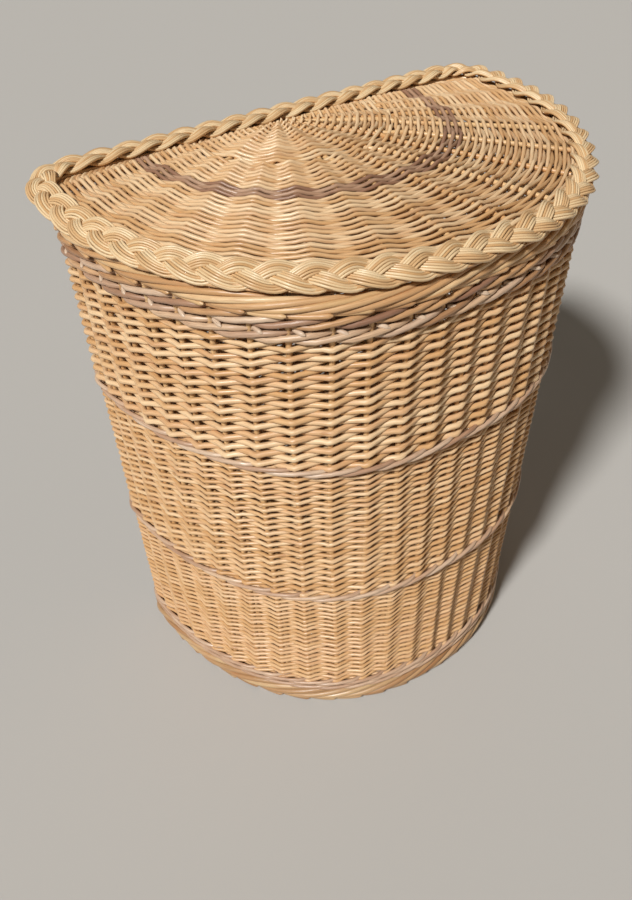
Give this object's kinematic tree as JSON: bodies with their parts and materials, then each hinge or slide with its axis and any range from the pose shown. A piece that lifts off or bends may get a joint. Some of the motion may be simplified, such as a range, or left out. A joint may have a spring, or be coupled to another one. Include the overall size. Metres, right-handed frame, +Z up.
{
  "type": "laundry hamper with lid",
  "caption": "Half-round woven willow laundry hamper with a flat back, dark bands and a braided lid that lifts on willow loops.",
  "frame": {"origin": "on the floor, under the middle of the closed hamper's bounding box", "axes": "+Z up, +Y towards the flat back, -Y towards the bowed front, +X to the right for someone facing the front"},
  "size_m": [0.528, 0.336, 0.571],
  "materials": {
    "buff_willow": "peeled buff willow rods, satin, honey coloured with natural variation",
    "mauve_willow": "darker steamed willow rods, mauve brown, satin",
    "braid_willow": "pale cream buff willow rods, satin",
    "border_willow": "long buff willow rods laid side by side, satin",
    "foot_willow": "orange brown willow rods, worn where they meet the floor",
    "stake_willow": "thicker peeled willow rods, satin"
  },
  "bodies": {
    "hamper": {"base_panel": "buff_willow", "base_stick_1": "stake_willow", "base_stick_2": "stake_willow", "base_stick_3": "stake_willow", "base_stick_4": "stake_willow", "base_stick_5": "stake_willow", "base_stick_6": "stake_willow", "foot_border": "foot_willow", "foot_wale": "mauve_willow", "lower_weave": "buff_willow", "lower_dividing_wale": "mauve_willow", "middle_weave": "buff_willow", "upper_dividing_wale": "mauve_willow", "upper_weave": "buff_willow", "top_wale": "mauve_willow", "top_border": "border_willow", "stake_pair_01": "stake_willow", "stake_pair_02": "stake_willow", "stake_pair_03": "stake_willow", "stake_pair_04": "stake_willow", "stake_pair_05": "stake_willow", "stake_pair_06": "stake_willow", "stake_pair_07": "stake_willow", "stake_pair_08": "stake_willow", "stake_pair_09": "stake_willow", "stake_pair_10": "stake_willow", "stake_pair_11": "stake_willow", "stake_pair_12": "stake_willow", "stake_pair_13": "stake_willow", "stake_pair_14": "stake_willow", "stake_pair_15": "stake_willow", "stake_pair_16": "stake_willow", "stake_pair_17": "stake_willow", "stake_pair_18": "stake_willow", "stake_pair_19": "stake_willow", "stake_pair_20": "stake_willow", "stake_pair_21": "stake_willow", "stake_pair_22": "stake_willow", "hinge_loop_left": "braid_willow", "hinge_loop_right": "braid_willow"},
    "lid": {"lid_rim": "border_willow", "lid_braid": "braid_willow", "lid_inner_weave": "buff_willow", "lid_dark_band": "mauve_willow", "lid_outer_weave": "buff_willow", "lid_stake_pair_1": "stake_willow", "lid_stake_pair_2": "stake_willow", "lid_stake_pair_3": "stake_willow", "lid_stake_pair_4": "stake_willow", "lid_stake_pair_5": "stake_willow", "lid_stake_pair_6": "stake_willow", "lid_stake_pair_7": "stake_willow", "lid_stake_pair_8": "stake_willow"}
  },
  "joints": [
    {"name": "lid_hinge", "type": "hinge", "parent": "hamper", "child": "lid", "pos_m": [0, 0.161, 0.5497], "axis": [-1, 0, 0], "range_deg": [0, 110]}
  ]
}
